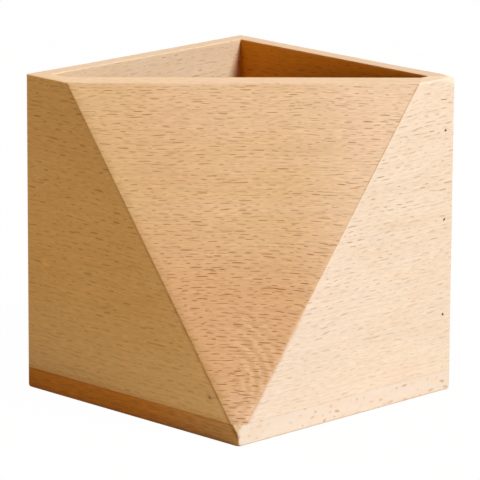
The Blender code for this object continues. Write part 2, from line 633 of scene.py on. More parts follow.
    def tones(self, n: Nodes, grain: Grain) -> Source:
        """Mixes the wood's tones: pale and warm patches, broad drifts, growth rings and fine fibres.

        Fibres and streaks together lighten or darken the colour by how far they are from their middle.

        Args:
            n: the tree.
            grain: the point's measures.

        Returns:
            The colour.
        """
        kinds = (PALE_CLOUDS, WARM_CLOUDS, FIBRES, STREAKS)
        pale, warm, fibre, streak = (self.noise(n, grain.along, grain.bent, blots) for blots in kinds)
        patch, flush = (
            n.add("MapRange SMOOTHSTEP", cloud, kind.bare, kind.full, 0.0, self.patchiness)
            for cloud, kind in ((pale, PALE_CLOUDS), (warm, WARM_CLOUDS))
        )
        on_broad = n.add("Math SUBTRACT", 1.0, grain.on_edge)
        # The inside colour, where a finish has one, is painted shade for the hollow.
        layers = [
            (grain.on_inside, self.inside or self.tone), (grain.on_edge, self.edge),
            (flush, self.warm), (patch, self.pale),
        ]
        for drift in self.drifts:
            here = on_broad if drift.on is Face.BROAD else grain.on_edge
            share = n.add("Math MULTIPLY", self.ramped(n, grain, drift.share), here)
            layers.append((share, drift.color))
        body = linear(self.tone)
        for share, color in layers:
            body = n.add("Mix RGBA", share, body, linear(color))
        if self.arcs:
            body = self.ringed(n, grain, pale, body)
        middle = (self.fibre_part + self.streak_part) / 2
        broad = n.add("Math MULTIPLY_ADD", streak, self.streak_part, -middle)
        swing = n.add("Math MULTIPLY_ADD", fibre, self.fibre_part, broad)
        strength = n.add("Mix FLOAT", grain.on_edge, self.streaks, self.edge_streaks)
        light = n.add("Math MULTIPLY_ADD", swing, strength, 1.0)
        return n.add("VectorMath SCALE", body, light)

    def ringed(self, n: Nodes, grain: Grain, cloud: Source, tone: Source) -> Source:
        """Draws growth rings as pale arcs round a centre, which fade out away from it.

        The ring number is the flattened distance from the centre over the rings' spacing, pushed about by
        the cloud. A ring is pale where the sine of it is high, and a little darker where it is low.

        Args:
            n: the tree.
            grain: the point's measures.
            cloud: slow noise.
            tone: the colour so far.

        Returns:
            The colour.
        """
        arcs = self.arcs
        middle = (-arcs.middle_along, -arcs.middle_across, 0.0)
        point = n.add("CombineXYZ", grain.along, grain.across, 0.0)
        aside = n.add("VectorMath ADD", point, middle)
        squeezed = n.add("VectorMath MULTIPLY", aside, (arcs.flatten, 1.0, 0.0))
        away = n.add("VectorMath LENGTH", squeezed)
        turns = n.add("Math MULTIPLY", away, 2 * math.pi / arcs.apart)
        wave = n.add("Math SINE", n.add("Math MULTIPLY_ADD", cloud, arcs.push, turns))
        fade = 1.0
        for spot, low, high in (
            (away, arcs.fades_to, arcs.fades_from),
            (away, arcs.starts, arcs.full),
            (grain.along, arcs.side_from, arcs.side_to),
        ):
            near = n.add("MapRange SMOOTHSTEP", spot, low, high, 0.0, 1.0)
            fade = n.add("Math MULTIPLY", fade, near)
        for low, high, most, color in (
            (arcs.pale_from, 1.0, arcs.pale_share, self.pale), (0.0, -1.0, arcs.dark_share, self.dash)
        ):
            share = n.add("MapRange SMOOTHSTEP", wave, low, high, 0.0, most)
            faded = n.add("Math MULTIPLY", share, fade)
            tone = n.add("Mix RGBA", faded, tone, linear(color))
        return tone

    def dashed(self, n: Nodes, a: Source, q: Source, dashes: Dashes) -> Node:
        """Strews dashes: rows along the grain are cut into cells, and each cell holds one.

        As in brickwork each row is shifted by half a cell from the last, and by a random part of one too. In
        a cell the dash's place, length, width, lean and darkness are random, and long ones are rare and dark.
        A point is in the dash where |y| / half width + (x / half length)^b is under 1, with b the bluntness.

        Args:
            n: the tree.
            a: millimetres along the grain.
            q: millimetres across it.
            dashes: their sizes and spacing.

        Returns:
            A node with 0 for bare wood and up to 1 in the darkest dash.
        """
        rows = n.add("Math MULTIPLY_ADD", q, 1 / dashes.apart_across, dashes.seed)
        row = n.add("Math FLOOR", rows)
        random_row = n.add("TexWhiteNoise", row, noise_dimensions="1D")
        jolt = n.add("Math MULTIPLY", random_row, dashes.jolt)
        shift = n.add("Math MULTIPLY_ADD", row, 0.5, jolt)
        cells = n.add("Math MULTIPLY_ADD", a, 1 / dashes.apart_along, shift)
        cell = n.add("Math FLOOR", cells)
        (where_x, where_y, longer), (wider, leaning, darker) = (
            n.add("SeparateColor", draw.outputs["Color"]).outputs
            for draw in (
                n.add("TexWhiteNoise", n.add("CombineXYZ", cell, row, level))
                for level in (dashes.seed, dashes.seed + OTHER_DRAWS)
            )
        )
        offsets = []
        for spot, where, stray, apart in (
            (cells, where_x, dashes.stray_along, dashes.apart_along),
            (rows, where_y, dashes.stray_across, dashes.apart_across),
        ):
            centred = n.add("Math SUBTRACT", n.add("Math FRACT", spot), 0.5)
            strayed = n.add("Math ADD", centred, n.add("MapRange", where, 0.0, 1.0, -stray, stray))
            offsets.append(n.add("Math MULTIPLY", strayed, apart))
        x, y = offsets
        slope = n.add("MapRange", leaning, 0.0, 1.0, -dashes.lean, dashes.lean)
        y = n.add("Math MULTIPLY_ADD", x, slope, y)
        stretch = n.add("Math POWER", longer, dashes.long_scarcity)
        half_length, half_width = (
            n.add("MapRange", draw, 0.0, 1.0, size * least / 2, size / 2)
            for draw, size, least in (
                (stretch, dashes.length, dashes.shortest), (wider, dashes.width, dashes.narrowest)
            )
        )
        over_length = n.add("Math DIVIDE", x, half_length)
        over_width = n.add("Math DIVIDE", n.add("Math ABSOLUTE", y), half_width)
        tapered = n.add("Math POWER", over_length, dashes.bluntness)
        reach = n.add("Math ADD", tapered, over_width)
        body = n.add("MapRange SMOOTHSTEP", reach, dashes.halo, dashes.core, 0.0, 1.0)
        force = n.add("Math POWER", darker, dashes.scarcity)
        more = n.add("MapRange", stretch, 0.0, dashes.long_from, dashes.short_darkness, dashes.long_darkness)
        return n.add("Math MULTIPLY", body, n.add("Math MULTIPLY", force, more))

    def rayed(self, n: Nodes, grain: Grain, tone: Source) -> tuple[Source, Source]:
        """Lays the rays over the tones. They are weaker on narrow edges.

        Args:
            n: the tree.
            grain: the point's measures.
            tone: the colour so far.

        Returns:
            The colour, and how much of a ray is at the point.
        """
        strong, weak = (
            n.add("Math MULTIPLY", self.dashed(n, grain.along, grain.bent, dashes), dashes.darkness)
            for dashes in (self.rays, self.faint_rays)
        )
        dark = n.add("Math MAXIMUM", strong, weak)
        strength = self.ramped(n, grain, self.ray_strength)
        strength = n.add("Mix FLOAT", grain.on_edge, strength, self.edge_dashes)
        dark = n.add("Math MULTIPLY", dark, strength, use_clamp=True)
        return n.add("Mix RGBA", dark, tone, linear(self.dash)), dark

    def end_grain(self, n: Nodes, grain: Grain, tone: Source) -> Source:
        """On the ends of a board the wood is even, with a few short reddish-brown dots.

        Args:
            n: the tree.
            grain: the point's measures.
            tone: the colour elsewhere.

        Returns:
            The colour.
        """
        b, c = grain.across, grain.through
        spots = self.dashed(n, b, c, END_DOTS)
        share = n.add("Math MULTIPLY", spots, self.ramped(n, grain, self.dot_strength))
        mottle = self.noise(n, b, c, END_MOTTLE)
        warmth = n.add("MapRange", mottle, END_MOTTLE.bare, END_MOTTLE.full, 0.0, self.end_patchiness)
        end = n.add("Mix RGBA", warmth, linear(self.end), linear(self.tone))
        end = n.add("Mix RGBA", share, end, linear(self.dot))
        return n.add("Mix RGBA", grain.on_end, tone, end)

    def joints_and_edges(self, n: Nodes, grain: Grain, tone: Source) -> Source:
        """Sanded edges are a little paler, unevenly. Glue and the pins' iron darken the wood beside them; the
        glue's mask also paints light.

        Args:
            n: the tree.
            grain: the point's measures.
            tone: the colour so far.

        Returns:
            The colour.
        """
        uneven = self.noise(n, grain.along, grain.bent, UNEVEN_SANDING)
        # The glue's mask also paints light: a warm glow in the inner back corner's shadow, and shade along
        # the base's foot.
        for attribute, color, most in (
            ("edge_nearness", self.pale, self.wear_share),
            ("glue_nearness", self.glue, self.glue_and_painted_light_share),
            ("stain_nearness", self.stain, self.stain_share),
        ):
            near = n.add("Attribute", attribute_name=attribute).outputs["Fac"]
            patchy = n.add("Math MULTIPLY", near, uneven)
            share = n.add("Math MULTIPLY", patchy, most, use_clamp=True)
            tone = n.add("Mix RGBA", share, tone, linear(color))
        return tone


@dataclass(frozen=True)
class PinSteelFinish:
    """Drawn steel wire that has greyed: dull, finely scratched, with a few brown specks.

    Real scratches are about 0.01 mm wide. They are drawn wider, so that they show.
    """

    bright: str = "#8C8780"
    dull: str = "#5A4A3C"
    speck_size: float = 0.35 * MM
    scratch_size: float = 0.08 * MM
    relief: float = 0.01 * MM
    specks_from: float = 0.45
    specks_full: float = 0.65
    least_dull: float = 0.1
    most_dull: float = 0.9
    smoothest: float = 0.32
    roughest: float = 0.55

    def material(self, name: str) -> Material:
        """Builds the material.

        Args:
            name: the material's name.

        Returns:
            The material.
        """
        material = bpy.data.materials.new(name)
        n = Nodes(material)
        place = n.add("TexCoord").outputs["Object"]
        specks, scratches = (
            n.add("TexNoise", {"Vector": place, "Scale": 1 / size, "Detail": layers})
            for size, layers in ((self.speck_size, 2.0), (self.scratch_size, 1.0))
        )
        limits = (self.specks_from, self.specks_full, self.least_dull, self.most_dull)
        share = n.add("MapRange SMOOTHSTEP", specks, *limits)
        tone = n.add("Mix RGBA", share, linear(self.bright), linear(self.dull))
        rough = n.add("MapRange", scratches, NOISE_LOW, NOISE_HIGH, self.smoothest, self.roughest)
        bump = n.add("Bump", {"Strength": BUMP_STRENGTH, "Distance": self.relief, "Height": scratches})
        shader = n.add(
            "BsdfPrincipled", {"Base Color": tone, "Roughness": rough, "Normal": bump, "Metallic": 1.0}
        )
        n.add("OutputMaterial", shader)
        return material


@dataclass
class HolderForm:
    """The outer form that all boards share, in metres, and the small ways in which it departs from flat.

    Worn from and worn full are shares of the height.
    """

    width: float
    depth: float
    height: float
    wall: float = 6.0 * MM
    base: float = 6.5 * MM
    panel: float = 8.2 * MM
    cut_along_left_wall: float = 75.0 * MM
    cut_along_right_wall: float = 77.5 * MM
    cut_foot_height: float = 2.2 * MM
    base_cut_foot_height: float = 2.8 * MM
    arris_round: float = 0.55 * MM
    worn_arris_round: float = 2.4 * MM
    worn_from: float = 0.5
    worn_full: float = 0.1
    corner_round: float = 1.2 * MM
    rim_round: float = 0.5 * MM
    back_rim_round: float = 1.2 * MM
    back_reach: float = 12.0 * MM
    knocked_rim_round: float = 2.2 * MM
    knocked_reach: float = 7.0 * MM
    inner_rim_round: float = 0.25 * MM
    foot_round: float = 0.6 * MM
    foot_corner_round: float = 1.1 * MM
    joint_round: float = 0.04 * MM
    panel_gap: float = 0.012 * MM
    base_gap: float = 0.02 * MM
    wear_spread: float = 0.5 * MM
    sides: dict[str, Side] = field(init=False)

    def __post_init__(self) -> None:
        """Works out the flat sides in the order in which they follow each other, seen from above."""
        x, y = self.width / 2, self.depth / 2
        self.sides = {
            "left_wall": Side(np.array((0.0, -1.0, 0.0)), y, self.wall),
            "front_facet_panel": self.cut(1.0, self.cut_foot_height, self.panel),
            "right_wall": Side(np.array((1.0, 0.0, 0.0)), x, self.wall),
            "back_right_wall": Side(np.array((0.0, 1.0, 0.0)), y, self.wall),
            "back_left_wall": Side(np.array((-1.0, 0.0, 0.0)), x, self.wall),
        }

    def cut(self, rise: float, foot_height: float, thickness: float = 0.0) -> Side:
        """Works out a slanted side at the front corner, through three points: left, right and foot.

        Args:
            rise: how far up the panel the left and right points are, 0 at its foot and 1 at its rim.
            foot_height: the height at which the side meets the corner.
            thickness: the board's thickness.

        Returns:
            The side.
        """
        corner = np.array((self.width / 2, -self.depth / 2, 0.0))
        level = self.cut_foot_height + (self.height - self.cut_foot_height) * rise
        left = corner + (-self.cut_along_left_wall * rise, 0, level)
        right = corner + (0, self.cut_along_right_wall * rise, level)
        foot = corner + (0, 0, foot_height)
        slant = unit(np.cross(foot - left, right - left))
        return Side(slant, float(slant @ foot), thickness)

    def base_slant(self) -> Side:
        """Returns the base's own small cut at the front corner, which meets the panel's lower edge."""
        rise = (self.base - self.cut_foot_height) / (self.height - self.cut_foot_height)
        return self.cut(rise, self.base_cut_foot_height)

    def top(self) -> Side:
        """Returns the plane of the rim."""
        return Side(UP, self.height)

    @staticmethod
    def corner_side(first: Side, second: Side, radius: float) -> Side:
        """Returns the plane that touches a square corner's rounding halfway between its two sides."""
        reach = (first.reach + second.reach) / math.sqrt(2) - radius * (math.sqrt(2) - 1)
        return Side(unit(first.normal + second.normal), reach)

    def neighbours(self, name: str) -> tuple[Side, Side]:
        """Returns the sides before and after this one, seen from above, against the clock."""
        order, at = list(self.sides.values()), list(self.sides).index(name)
        return order[at - 1], order[(at + 1) % len(order)]

    def round_of(self, first: Side, second: Side, points: Array) -> float | Array:
        """Returns the rounding of the upright or slanted edge between two sides.

        The arris between the slanted panel and the right wall is worn rounder toward its foot.

        Args:
            first: one side.
            second: the other side.
            points: N x 3 points near the edge.

        Returns:
            One radius, or one a point.
        """
        slanted, right = self.sides["front_facet_panel"], self.sides["right_wall"]
        if slanted not in (first, second):
            return self.corner_round
        if right not in (first, second):
            return self.arris_round
        worn = smooth(self.worn_from, self.worn_full, points[:, 2] / self.height)
        return self.arris_round + (self.worn_arris_round - self.arris_round) * worn


@dataclass(frozen=True)
class GlueAndPaintedLightLine:
    """Glue and oil that a board has taken up at its edge with another one, or painted light, fading with the
    height.

    The fade lies between two shares of the height, and takes away the share of the glue called loss.
    """

    board: str
    beside: str
    spread: float
    fades_from: float
    fades_to: float
    loss: float = 1.0
    inside: bool = False


# On the panel the glue was squeezed out in a band at the left wall. The inner corner's line is painted light:
# a warm orange glow in the corner's shadow, as of bounced light, gone at the rim.
GLUE_AND_PAINTED_LIGHT_LINES = (
    GlueAndPaintedLightLine("left_wall", "front_facet_panel", 0.55 * MM, fades_from=0.3, fades_to=0.9, loss=0.6),
    GlueAndPaintedLightLine("front_facet_panel", "left_wall", 1.5 * MM, fades_from=0.1, fades_to=0.7, loss=0.45),
    GlueAndPaintedLightLine("front_facet_panel", "right_wall", 0.3 * MM, fades_from=0.8, fades_to=0.4),
    GlueAndPaintedLightLine("right_wall", "front_facet_panel", 0.55 * MM, fades_from=0.25, fades_to=0.45),
    GlueAndPaintedLightLine("back_left_wall", "back_right_wall", 2.4 * MM, fades_from=0.9, fades_to=1.0, inside=True),
)


@dataclass
class PinHole:
    """A headless pin and the hole that it sits in: two boards held together.

    The head, the shoulder and the tip are measured as shares of the pin's radius.
    """

    name: str
    way: Array
    length: float
    boards: tuple[str, str]
    steel: Material
    diameter: float = 0.8 * MM
    clearance: float = 0.1 * MM
    set_depth: float = 0.5 * MM
    point_length: float = 0.9 * MM
    end_clearance: float = 0.3 * MM
    overrun: float = 1.5 * MM
    dish_depth: float = 0.10 * MM
    dish_radius: float = 0.9 * MM
    stain_spread: float = 0.5 * MM
    head_height: float = 0.18
    head_width: float = 0.92
    shoulder: float = 0.35
    tip_width: float = 0.28
    tip_curve: float = 1.3
    head_rings: int = 6
    tip_rings: int = 5
    sides: int = 24

    def __post_init__(self) -> None:
        """Takes the pin's place from the frame: its box has the same middle as the pin."""
        low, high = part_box(self.name)
        middle = np.array((low + high) / 2)
        self.start = middle - self.way * self.length / 2
        self.mouth = self.start - self.way * self.set_depth

    def build(self) -> Object:
        """Makes the pin: a cropped, slightly domed head, a straight shank and a chamfered point.

        Returns:
            The pin's object.
        """
        radius = self.diameter / 2
        dome = np.linspace(0, math.pi / 2, self.head_rings)
        taper = np.linspace(0, 1, self.tip_rings)[1:]
        head = np.stack([self.head_height * (1 - np.cos(dome)), self.head_width * np.sin(dome)], axis=1)
        shank = np.array([(self.shoulder * radius, radius), (self.length - self.point_length, radius)])
        narrowed = radius * (1 - (1 - self.tip_width) * taper**self.tip_curve)
        point = np.stack([self.length - self.point_length * (1 - taper), narrowed], axis=1)
        tip = np.array([(self.length, 0.0)])
        profile = np.concatenate([head * radius, shank, point, tip])
        points, faces = turned(profile, self.start, self.way, self.sides)
        piece = new_piece(self.name + "_wire", points, faces)
        shade(piece)
        return piece

    def dress(self, piece: Object) -> None:
        """Gives the pin its steel and its body, and hides the node that it stands for."""
        hand_over(piece, self.steel, self.name)

    def cutter(self) -> Object:
        """Makes the hole's cutter, which runs out of the wood at the mouth.

        Returns:
            The cutter, to be removed after use.
        """
        radius = self.diameter / 2 + self.clearance
        reach = self.set_depth + self.length + self.end_clearance
        profile = np.array([(-self.overrun, 0.0), (-self.overrun, radius), (reach, radius), (reach, 0.0)])
        points, faces = turned(profile, self.mouth, self.way, self.sides)
        return new_piece(self.name + "_cutter", points, faces)


@dataclass
class UprightBoard:
    """A wall or the slanted panel, between the mitres to its two neighbours.

    Worn from and worn full are shares of the height, and calm end is a share of the board's length. The
    turns are how far, in radians, the two waves of the sanding are turned from one end to the other.
    """

    name: str
    form: HolderForm
    finish: BeechFinish
    pins: list[PinHole]
    step: float = 1.5 * MM
    edge_step: float = 0.09 * MM
    edge_reach: float = 4.0 * MM
    mouth_step: float = 0.28 * MM
    mouth_reach: float = 2.5 * MM
    waviness: float = 0.03 * MM
    long_wave: float = 31.0 * MM
    short_wave: float = 17.0 * MM
    long_turn: float = 5.0
    short_turn: float = 9.0
    calm_end: float = 0.08
    worn_from: float = 0.1
    worn_full: float = 0.45

    def __post_init__(self) -> None:
        """Looks up the board's own side, its neighbours and the pins that go in at its outer face."""
        self.side = self.form.sides[self.name]
        self.before, self.after = self.form.neighbours(self.name)
        self.entering = [pin for pin in self.pins if pin.boards[0] == self.name]

    def mitre_line(self, neighbour: Side, share: Array, z: Array) -> Array:
        """Where a board's end lies: both boards have the same share of their thickness over the point.

        Each point is where three planes meet: the one at that share of this board's thickness, the one at
        the same share of the neighbour's, and the level z.

        Args:
            neighbour: the side next to this one.
            share: depth as a share of the thickness, 0 outside and 1 inside.
            z: height.

        Returns:
            N x 3 points.
        """
        planes = np.stack([self.side.normal, neighbour.normal, UP])
        reaches = [side.reach - share * side.thickness for side in (self.side, neighbour)]
        return np.linalg.solve(planes, np.stack([*reaches, z])).T

    def gap_to(self, neighbour: Side) -> float:
        """Returns how far the board's end stays from the mitre. Only the panel's joints are open."""
        slanted = self.form.sides["front_facet_panel"]
        return self.form.panel_gap / math.sqrt(2) if slanted in (self.side, neighbour) else 0.0

    def place(self, u: Array, share: Array, z: Array) -> Array:
        """Puts parameters in space: u runs from one mitre to the other along a straight line.

        Args:
            u: 0 at the mitre before, 1 at the mitre after.
            share: depth as a share of the thickness.
            z: height.

        Returns:
            N x 3 points.
        """
        start = self.mitre_line(self.before, share, z)
        end = self.mitre_line(self.after, share, z)
        span = end - start
        length = np.linalg.norm(span, axis=1, keepdims=True)
        first = self.gap_to(self.before) / length
        last = 1 - self.gap_to(self.after) / length
        return start + span * (first + (last - first) * u[:, None])

    def rim_round_at(self, points: Array) -> Array:
        """The rim's rounding, which grows toward the back and at the knocked corner on the right.

        Args:
            points: N x 3 points.

        Returns:
            One radius a point.
        """
        form = self.form
        distance = np.linalg.norm(points[:, :2] - (form.width / 2, form.depth / 2), axis=1)
        knocked = 1 - smooth(0, form.knocked_reach, distance)
        behind = smooth(0, form.back_reach, (points[:, 1] - points[:, 0]) / 2)
        usual = form.rim_round + (form.back_rim_round - form.rim_round) * behind
        return usual + (form.knocked_rim_round - usual) * knocked

    def grid(self) -> tuple[Array, list]:
        """Makes the parameter grid, fine at the edges and at pin mouths.

        Returns:
            N x 3 parameters and the faces.
        """
        low, high = self.form.base + self.form.base_gap / 2, self.form.height
        ends = np.zeros(2), np.array([low, high])
        starts, stops = self.mitre_line(self.before, *ends), self.mitre_line(self.after, *ends)
        lengths = np.linalg.norm(stops - starts, axis=1)
        longest = int(lengths.argmax())
        length = float(lengths[longest])
        along = (stops[longest] - starts[longest]) / length
        edge, hole = (self.edge_step, self.edge_reach), (self.mouth_step, self.mouth_reach)
        u_holes = [(float((pin.mouth - starts[longest]) @ along), *hole) for pin in self.entering]
        z_holes = [(float(pin.mouth[2]) - low, *hole) for pin in self.entering]
        us, shares, zs = (
            graded_lines(stretch, self.step, [(0.0, *edge), (stretch, *edge), *holes])
            for stretch, holes in ((length, u_holes), (self.side.thickness, []), (high - low, z_holes))
        )
        parameters, faces = box_lattice(us, shares, zs)
        parameters[:, 2] = low + (high - low) * parameters[:, 2]
        return parameters, faces

    def soften_rim(self, u: Array, share: Array, z: Array) -> tuple[Array, Array]:
        """Rounds the edges that run along the board, as depth and height, so that mitres still meet.

        Args:
            u: place along the board.
            share: depth as a share of the thickness.
            z: height.

        Returns:
            The new shares and heights.
        """
        form = self.form
        middle = self.place(np.full_like(u, 0.5), share, z)
        radius = self.rim_round_at(self.place(u, share, z))
        bottom = Side(DOWN, -(form.base + form.base_gap / 2))
        middle = round_edge(middle, self.side, form.top(), radius)
        middle = round_edge(middle, self.side.inner(), form.top(), form.inner_rim_round)
        middle = round_edge(middle, self.side, bottom, form.joint_round)
        return self.side.depth(middle) / self.side.thickness, middle[:, 2]

    def ripple(self, u: Array, share: Array, z: Array) -> Array:
        """Hand sanding leaves long shallow waves: sines along and up the board, none at its ends.

        Args:
            u: place along the board.
            share: depth as a share of the thickness.
            z: height.

        Returns:
            The new shares.
        """
        long_sine = np.sin(2 * math.pi * z / self.long_wave + self.long_turn * u)
        short_sine = np.sin(2 * math.pi * z / self.short_wave + self.short_turn * u)
        window = smooth(0, self.calm_end, u) * smooth(0, self.calm_end, 1 - u)
        sunk = self.waviness * (2 + long_sine + short_sine) / 4 * window / self.side.thickness
        return share + sunk * (1 - 2 * share)

    def build(self) -> Object:
        """Makes the board's mesh with its pin holes.

        Returns:
            The board's object, without its finish.
        """
        parameters, faces = self.grid()
        u, share, z = parameters.T
        share, z = self.soften_rim(u, share, z)
        share = self.ripple(u, share, z)
        points = self.place(u, share, z)
        near, glue = self.edge_nearness(points), self.glue_nearness(points)
        stain = np.zeros(len(points))
        for neighbour in (self.before, self.after):
            radius = self.form.round_of(self.side, neighbour, points)
            points = round_edge(points, self.side, neighbour, radius)
        for pin in self.entering:
            distance = np.linalg.norm(points - pin.mouth, axis=1)
            stain = np.maximum(stain, np.exp(-((distance / pin.stain_spread) ** 2)))
            sunk = pin.dish_depth * np.exp(-((distance / pin.dish_radius) ** 2))
            points = points - sunk[:, None] * self.side.normal
        piece = new_piece(
            self.name + "_beech", points, faces, edge_nearness=near, glue_nearness=glue, stain_nearness=stain
        )
        drill(piece, self.pins)
        shade(piece)
        return piece

    def edge_nearness(self, points: Array) -> Array:
        """How near each point is to a sanded edge.

        The arris with the glue squeezed out doesn't count, and the other slanted arris not near its foot.

        Args:
            points: N x 3 points.

        Returns:
            One number a point, from 0 to 1.
        """
        form = self.form
        left, slanted = form.sides["left_wall"], form.sides["front_facet_panel"]
        up = smooth(self.worn_from, self.worn_full, points[:, 2] / form.height)
        rims = (self.side, self.side.inner())
        near = [nearness(points, side, form.top(), form.wear_spread) for side in rims]
        for other in (self.before, self.after):
            if {self.side, other} != {left, slanted}:
                share = up if slanted in (self.side, other) else 1.0
                near.append(share * nearness(points, self.side, other, form.wear_spread))
        return np.max(near, axis=0)

    def glue_nearness(self, points: Array) -> Array:
        """How much glue and oil each point has taken up from the board's glue lines, or painted light in the
        inner corner.

        Args:
            points: N x 3 points.

        Returns:
            One number a point, from 0 to 1.
        """
        glue = np.zeros(len(points))
        for line in GLUE_AND_PAINTED_LIGHT_LINES:
            if line.board == self.name:
                pair = self.side, self.form.sides[line.beside]
                first, second = (side.inner() if line.inside else side for side in pair)
                faded = line.loss * smooth(line.fades_from, line.fades_to, points[:, 2] / self.form.height)
                glue = np.maximum(glue, nearness(points, first, second, line.spread) * (1 - faded))
        return glue

    def dress(self, piece: Object) -> None:
        """Gives the board its finish and its body, and hides the node that it stands for.

        Args:
            piece: the board's object.
        """
        rim = np.zeros(1), np.full(1, self.form.height)
        start, end = (self.mitre_line(side, *rim)[0] for side in (self.before, self.after))
        along = unit(end - start)
        across = unit(np.cross(self.side.normal, along))
        material = self.finish.material(self.name + "_beech", along, across, self.side.normal)
        hand_over(piece, material, self.name)


@dataclass
class BaseBoard:
    """The square base under the walls, with its small cut at the front corner."""

    form: HolderForm
    finish: BeechFinish
    step: float = 1.6 * MM
    edge_step: float = 0.12 * MM
    edge_reach: float = 5.0 * MM
    glue_spread: float = 0.55 * MM
    # How far the painted shade along the foot of the base's left face reaches.
    foot_shade_spread: float = 0.9 * MM
    name: str = "base_board"

    def build(self) -> Object:
        """Makes the base: a box whose corner beyond the cut is laid flat on the cut, then rounded.

        Its left face is darker along the foot, a painted shade, and along the cut, where the glue got in.

        Returns:
            The base's object, without its finish.
        """
        form = self.form
        size = (form.width, form.depth, form.base - form.base_gap / 2)
        edge = (self.edge_step, self.edge_reach)
        parameters, faces = box_lattice(
            *(graded_lines(length, self.step, [(0.0, *edge), (length, *edge)]) for length in size)
        )
        points = (parameters - (0.5, 0.5, 0.0)) * size
        slant, bottom, lid = form.base_slant(), Side(DOWN, 0.0), Side(UP, size[2])
        beyond = np.maximum(-slant.depth(points), 0)
        points = points - beyond[:, None] * slant.normal
        walls = [side for name, side in form.sides.items() if name != "front_facet_panel"]
        left, right = walls[:2]
        # Glue darkens the left face along the cut, and the same mask paints shade along its foot.
        glue = np.maximum(
            nearness(points, left, slant, self.glue_spread), nearness(points, left, bottom, self.foot_shade_spread)
        )
        near = nearness(points, right, slant, form.wear_spread)
        for wall in walls[1:]:
            near = np.maximum(near, nearness(points, wall, bottom, form.wear_spread))
        for wall in (left, right):
            radius = form.round_of(wall, form.sides["front_facet_panel"], points)
            points = round_edge(points, wall, slant, radius)
        rounds = (form.corner_round, form.arris_round, form.corner_round, form.corner_round)
        for first, second, radius in zip((walls[-1], *walls[:-1]), walls, rounds):
            near = np.maximum(near, nearness(points, first, second, form.wear_spread))
            points = round_edge(points, first, second, radius)
            corner = form.corner_side(first, second, radius)
            points = round_edge(points, corner, bottom, form.foot_corner_round)
        for wall in walls:
            points = round_edge(points, wall, bottom, form.foot_round)
            points = round_edge(points, wall, lid, form.joint_round)
        piece = new_piece(self.name + "_beech", points, faces, edge_nearness=near, glue_nearness=glue)
        shade(piece)
        return piece

    def dress(self, piece: Object) -> None:
        """Gives the base its finish and its body, and hides the node that it stands for.

        Args:
            piece: the base's object.
        """
        along, across = np.array((1.0, 0.0, 0.0)), np.array((0.0, 1.0, 0.0))
        material = self.finish.material(self.name + "_beech", along, across, UP)
        hand_over(piece, material, self.name)


def drill(piece: Object, pins: list[PinHole]) -> None:
    """Cuts the pins' holes out of a board and keeps the result as its mesh.

    Args:
        piece: the board.
        pins: the pins that pass through it or end in it.
    """
    if not pins:
        return
    cutters = [pin.cutter() for pin in pins]
    together = bpy.data.collections.new(piece.name + "_cutters")
    for cutter in cutters:
        together.objects.link(cutter)
    cut = piece.modifiers.new("pin_holes", "BOOLEAN")
    cut.operand_type = "COLLECTION"
    cut.collection = together
    cut.operation = "DIFFERENCE"
    cut.solver = "MANIFOLD"
    evaluated = piece.evaluated_get(bpy.context.evaluated_depsgraph_get())
    drilled = bpy.data.meshes.new_from_object(evaluated)
    piece.modifiers.clear()
    plain = piece.data
    piece.data = drilled
    drilled.name = plain.name
    drilled.materials.clear()
    bpy.data.meshes.remove(plain)
    for cutter in cutters:
        bpy.data.objects.remove(cutter, do_unlink=True)
    bpy.data.collections.remove(together)
